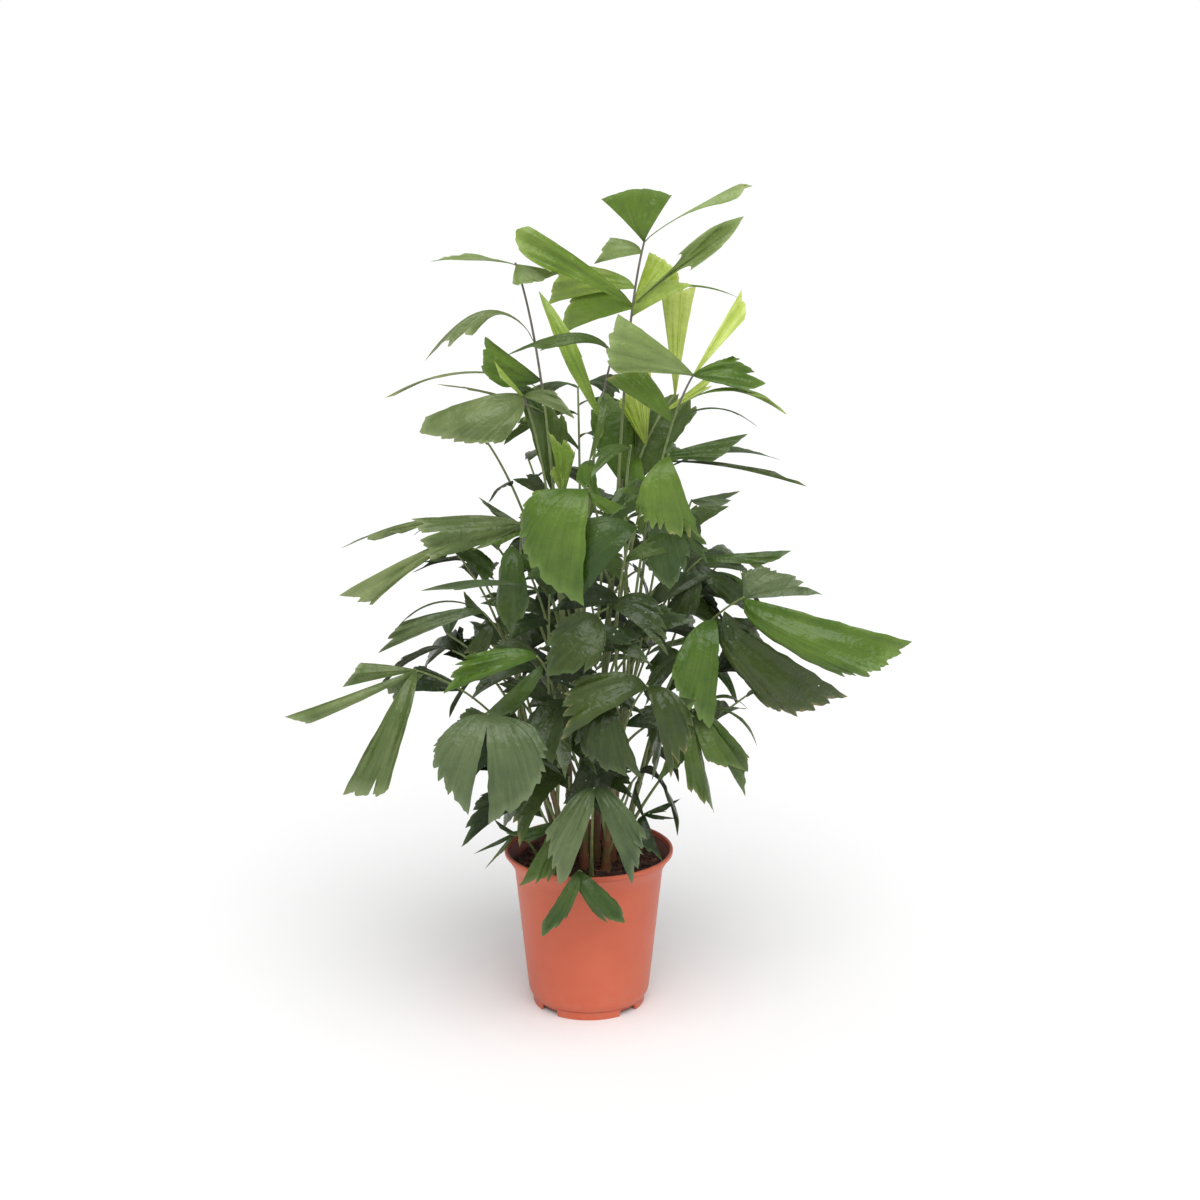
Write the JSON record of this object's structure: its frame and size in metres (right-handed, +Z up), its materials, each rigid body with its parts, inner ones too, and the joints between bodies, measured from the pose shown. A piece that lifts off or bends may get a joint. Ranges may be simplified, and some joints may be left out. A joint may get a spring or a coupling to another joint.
{
  "type": "potted clustering fishtail palm",
  "caption": "Clump-forming palm in a round nursery pot: slim canes lean out and carry arching fronds of jagged, wedge-shaped leaflets. It stands on the pot's notched flat base.",
  "frame": {"origin": "centre of the pot's flat underside", "axes": "+Z up along the pot's axis, +X to the right as seen from the front, -Y towards the viewer"},
  "size_m": [0.8251, 0.5475, 1.1553],
  "materials": {
    "pot": "satin moulded terracotta-coloured plastic",
    "soil": "dark moist bark and peat",
    "cane": "green ringed stem with dry brown sheaths",
    "leaf": "pleated satin green blade",
    "young_leaf": "pleated yellow-green new blade"
  },
  "bodies": {
    "root": {"pot": "pot", "soil": "soil", "cane_tall": "cane", "cane_left": "cane", "cane_right": "cane", "cane_front": "cane", "cane_back": "cane", "cane_far_left": "cane", "cane_far_right": "cane", "cane_front_right": "cane", "cane_front_left": "cane", "cane_back_right": "cane", "frond_crown": "leaf", "frond_left_high": "leaf", "frond_right_high": "leaf", "frond_middle_high": "leaf", "frond_left_grey": "leaf", "shoot_yellow_right": "young_leaf", "shoot_yellow_left": "young_leaf", "frond_inner_left": "leaf", "frond_inner_right": "leaf", "fan_front": "leaf", "fan_right": "leaf", "fan_front_right": "leaf", "fan_right_low": "leaf", "frond_left_long": "leaf", "frond_left_mid": "leaf", "frond_left_bright": "leaf", "frond_left_thin": "leaf", "frond_left_striped": "leaf", "frond_left_low": "leaf", "frond_left_leaf": "leaf", "fan_left_low": "leaf", "fan_mid": "leaf", "pair_centre": "leaf", "fan_centre": "leaf", "fan_low_dark": "leaf", "frond_right_big": "leaf", "frond_right_mid": "leaf", "frond_right_upper": "leaf", "frond_right_low": "leaf", "pair_bottom": "leaf", "frond_lip": "leaf", "sucker_low_left": "leaf", "sucker_left": "leaf", "sucker_right": "leaf", "frond_back_1": "leaf", "frond_back_2": "leaf", "frond_back_3": "leaf", "frond_back_4": "leaf", "frond_back_5": "leaf", "frond_back_6": "leaf", "frond_back_7": "leaf", "frond_back_8": "leaf", "frond_back_9": "leaf", "frond_back_10": "leaf", "frond_back_11": "leaf", "frond_back_12": "leaf", "frond_back_13": "leaf", "frond_back_14": "leaf"}
  },
  "joints": []
}
